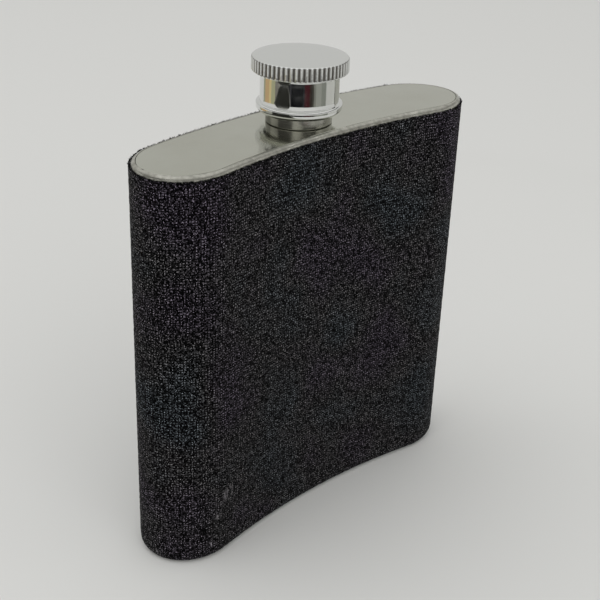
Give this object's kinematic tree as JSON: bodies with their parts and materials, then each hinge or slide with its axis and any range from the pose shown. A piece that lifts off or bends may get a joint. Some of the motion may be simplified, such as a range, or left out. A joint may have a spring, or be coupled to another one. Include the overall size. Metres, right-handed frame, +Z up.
{
  "type": "hip flask",
  "caption": "Kidney-shaped steel hip flask in a black glitter fabric sleeve, with a threaded neck and a knurled chrome screw cap that unscrews off.",
  "frame": {"origin": "middle of the flask's bounding box, on the surface it stands on", "axes": "+X along the width, +Z up through the neck, and the hollow hip side faces -Y"},
  "size_m": [0.092, 0.0248, 0.1068],
  "materials": {
    "wall_steel": "polished stainless steel sheet",
    "plate_steel": "flat polished stainless steel",
    "base_steel": "plain stainless steel sheet",
    "neck_steel": "turned stainless steel",
    "glitter_fabric": "black woven fabric with fine glitter thread",
    "chrome_plate": "bright chrome plating",
    "liner_plastic": "natural moulded plastic",
    "gasket_silicone": "soft white silicone"
  },
  "bodies": {
    "flask": {"body_wall": "wall_steel", "top_plate": "plate_steel", "base_plate": "base_steel", "neck": "neck_steel", "glitter_wrap": "glitter_fabric"},
    "seal": {"cap_gasket": "gasket_silicone"},
    "cap": {"cap_shell": "chrome_plate", "cap_liner": "liner_plastic"}
  },
  "joints": [
    {"name": "cap_lift", "type": "slide", "parent": "flask", "child": "seal", "axis": [0, 0, 1], "range_m": [0, 0.021]},
    {"name": "cap_turn", "type": "hinge", "parent": "seal", "child": "cap", "pos_m": [0, 0.00159, 0.0924], "axis": [0, 0, 1], "range_deg": [0, 2520]}
  ],
  "couplings": [
    {"joint": "cap_lift", "follows": "cap_turn", "m_per_rad": 0.00047746}
  ]
}
